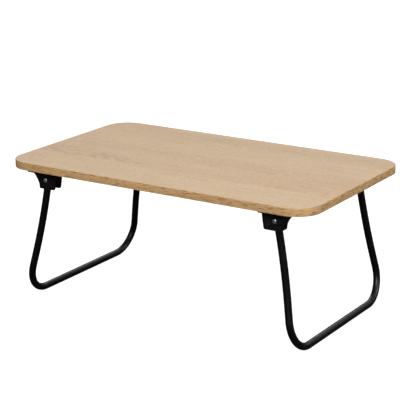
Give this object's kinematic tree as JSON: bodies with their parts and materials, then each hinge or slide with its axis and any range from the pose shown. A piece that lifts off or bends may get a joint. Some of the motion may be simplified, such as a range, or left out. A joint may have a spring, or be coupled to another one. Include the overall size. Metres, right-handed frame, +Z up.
{
  "type": "folding tray table",
  "caption": "Low folding tray table: rounded oak-look board on U-shaped black tube legs that splay outwards and fold inwards under it on moulded hinge brackets.",
  "frame": {"origin": "centre of the footprint on the floor, under the middle of the board", "axes": "+X along the board's length, +Y across it away from the front long side, +Z up"},
  "size_m": [0.6, 0.35, 0.254],
  "materials": {
    "oak_top": "satin printed oak laminate, pale greyish beige with fine grain along the length",
    "oak_underside": "the same laminate, plainer",
    "oak_edge": "golden oak edge band with short dark pores",
    "board_core": "pressed wood fibre board",
    "black_tube": "satin black powder coat on steel tube",
    "black_plastic": "fine matt moulding",
    "black_plug": "matt moulding",
    "zinc": "bright zinc plate",
    "nylon": "natural nylon"
  },
  "bodies": {
    "top": {"tabletop_core": "board_core", "top_laminate": "oak_top", "bottom_laminate": "oak_underside", "edge_band": "oak_edge", "left_front_hinge_bracket": "black_plastic", "left_front_pivot_screw": "zinc", "left_front_pivot_washer": "zinc", "left_front_lock_nut": "zinc", "left_front_mounting_screw_1": "zinc", "left_front_mounting_screw_2": "zinc", "left_front_mounting_screw_3": "zinc", "left_front_mounting_screw_4": "zinc", "left_rear_hinge_bracket": "black_plastic", "left_rear_pivot_screw": "zinc", "left_rear_pivot_washer": "zinc", "left_rear_lock_nut": "zinc", "left_rear_mounting_screw_1": "zinc", "left_rear_mounting_screw_2": "zinc", "left_rear_mounting_screw_3": "zinc", "left_rear_mounting_screw_4": "zinc", "right_front_hinge_bracket": "black_plastic", "right_front_pivot_screw": "zinc", "right_front_pivot_washer": "zinc", "right_front_lock_nut": "zinc", "right_front_mounting_screw_1": "zinc", "right_front_mounting_screw_2": "zinc", "right_front_mounting_screw_3": "zinc", "right_front_mounting_screw_4": "zinc", "right_rear_hinge_bracket": "black_plastic", "right_rear_pivot_screw": "zinc", "right_rear_pivot_washer": "zinc", "right_rear_lock_nut": "zinc", "right_rear_mounting_screw_1": "zinc", "right_rear_mounting_screw_2": "zinc", "right_rear_mounting_screw_3": "zinc", "right_rear_mounting_screw_4": "zinc"},
    "left_leg": {"left_leg_tube": "black_tube", "left_front_tube_plug": "black_plug", "left_front_pivot_bush": "nylon", "left_rear_tube_plug": "black_plug", "left_rear_pivot_bush": "nylon"},
    "right_leg": {"right_leg_tube": "black_tube", "right_front_tube_plug": "black_plug", "right_front_pivot_bush": "nylon", "right_rear_tube_plug": "black_plug", "right_rear_pivot_bush": "nylon"}
  },
  "joints": [
    {"name": "left_leg_fold", "type": "hinge", "parent": "top", "child": "left_leg", "pos_m": [-0.2292, 0, 0.221], "axis": [0, -1, 0], "range_deg": [0, 101]},
    {"name": "right_leg_fold", "type": "hinge", "parent": "top", "child": "right_leg", "pos_m": [0.2292, 0, 0.221], "axis": [0, 1, 0], "range_deg": [0, 101]}
  ]
}
